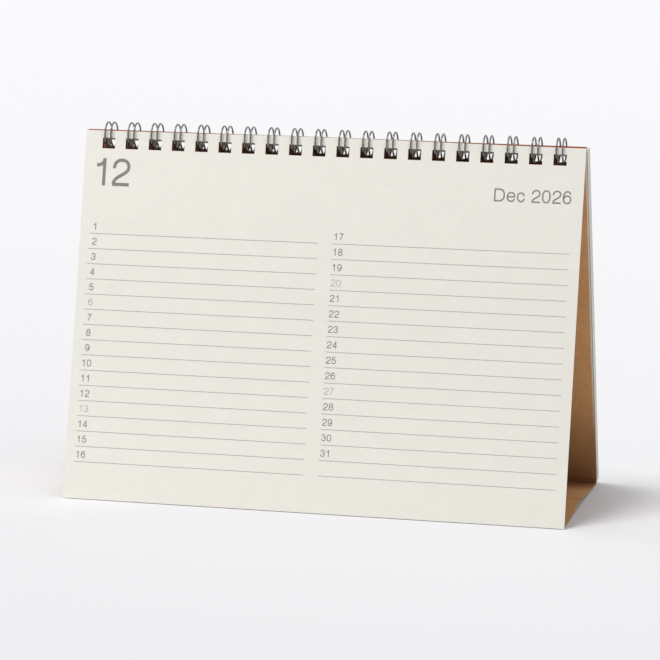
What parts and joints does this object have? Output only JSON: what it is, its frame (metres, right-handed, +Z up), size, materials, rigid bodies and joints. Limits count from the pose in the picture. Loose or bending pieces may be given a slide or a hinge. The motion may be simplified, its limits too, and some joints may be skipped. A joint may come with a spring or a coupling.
{
  "type": "desk calendar",
  "caption": "Desk calendar: a folded kraft board stand with a twin-loop wire along its top, one December sheet hanging in front and twelve sheets turned over to the back.",
  "frame": {"origin": "middle of the calendar's footprint, on the table", "axes": "+Z up, +X along the width, -Y the way the calendar faces"},
  "size_m": [0.178, 0.074, 0.1295],
  "materials": {
    "kraft_board": "uncoated kraft board",
    "wire": "dark enamelled steel wire",
    "paper": "uncoated off-white paper",
    "turned_paper": "uncoated off-white paper"
  },
  "bodies": {
    "base": {"stand": "kraft_board", "wire_binding": "wire", "flipped_sheets": "turned_paper"},
    "leaf": {"front_sheet": "paper"}
  },
  "joints": [
    {"name": "sheet_turn", "type": "hinge", "parent": "base", "child": "leaf", "pos_m": [0, -0.00397, 0.12498], "axis": [-1, 0, 0], "range_deg": [0, 155]}
  ]
}
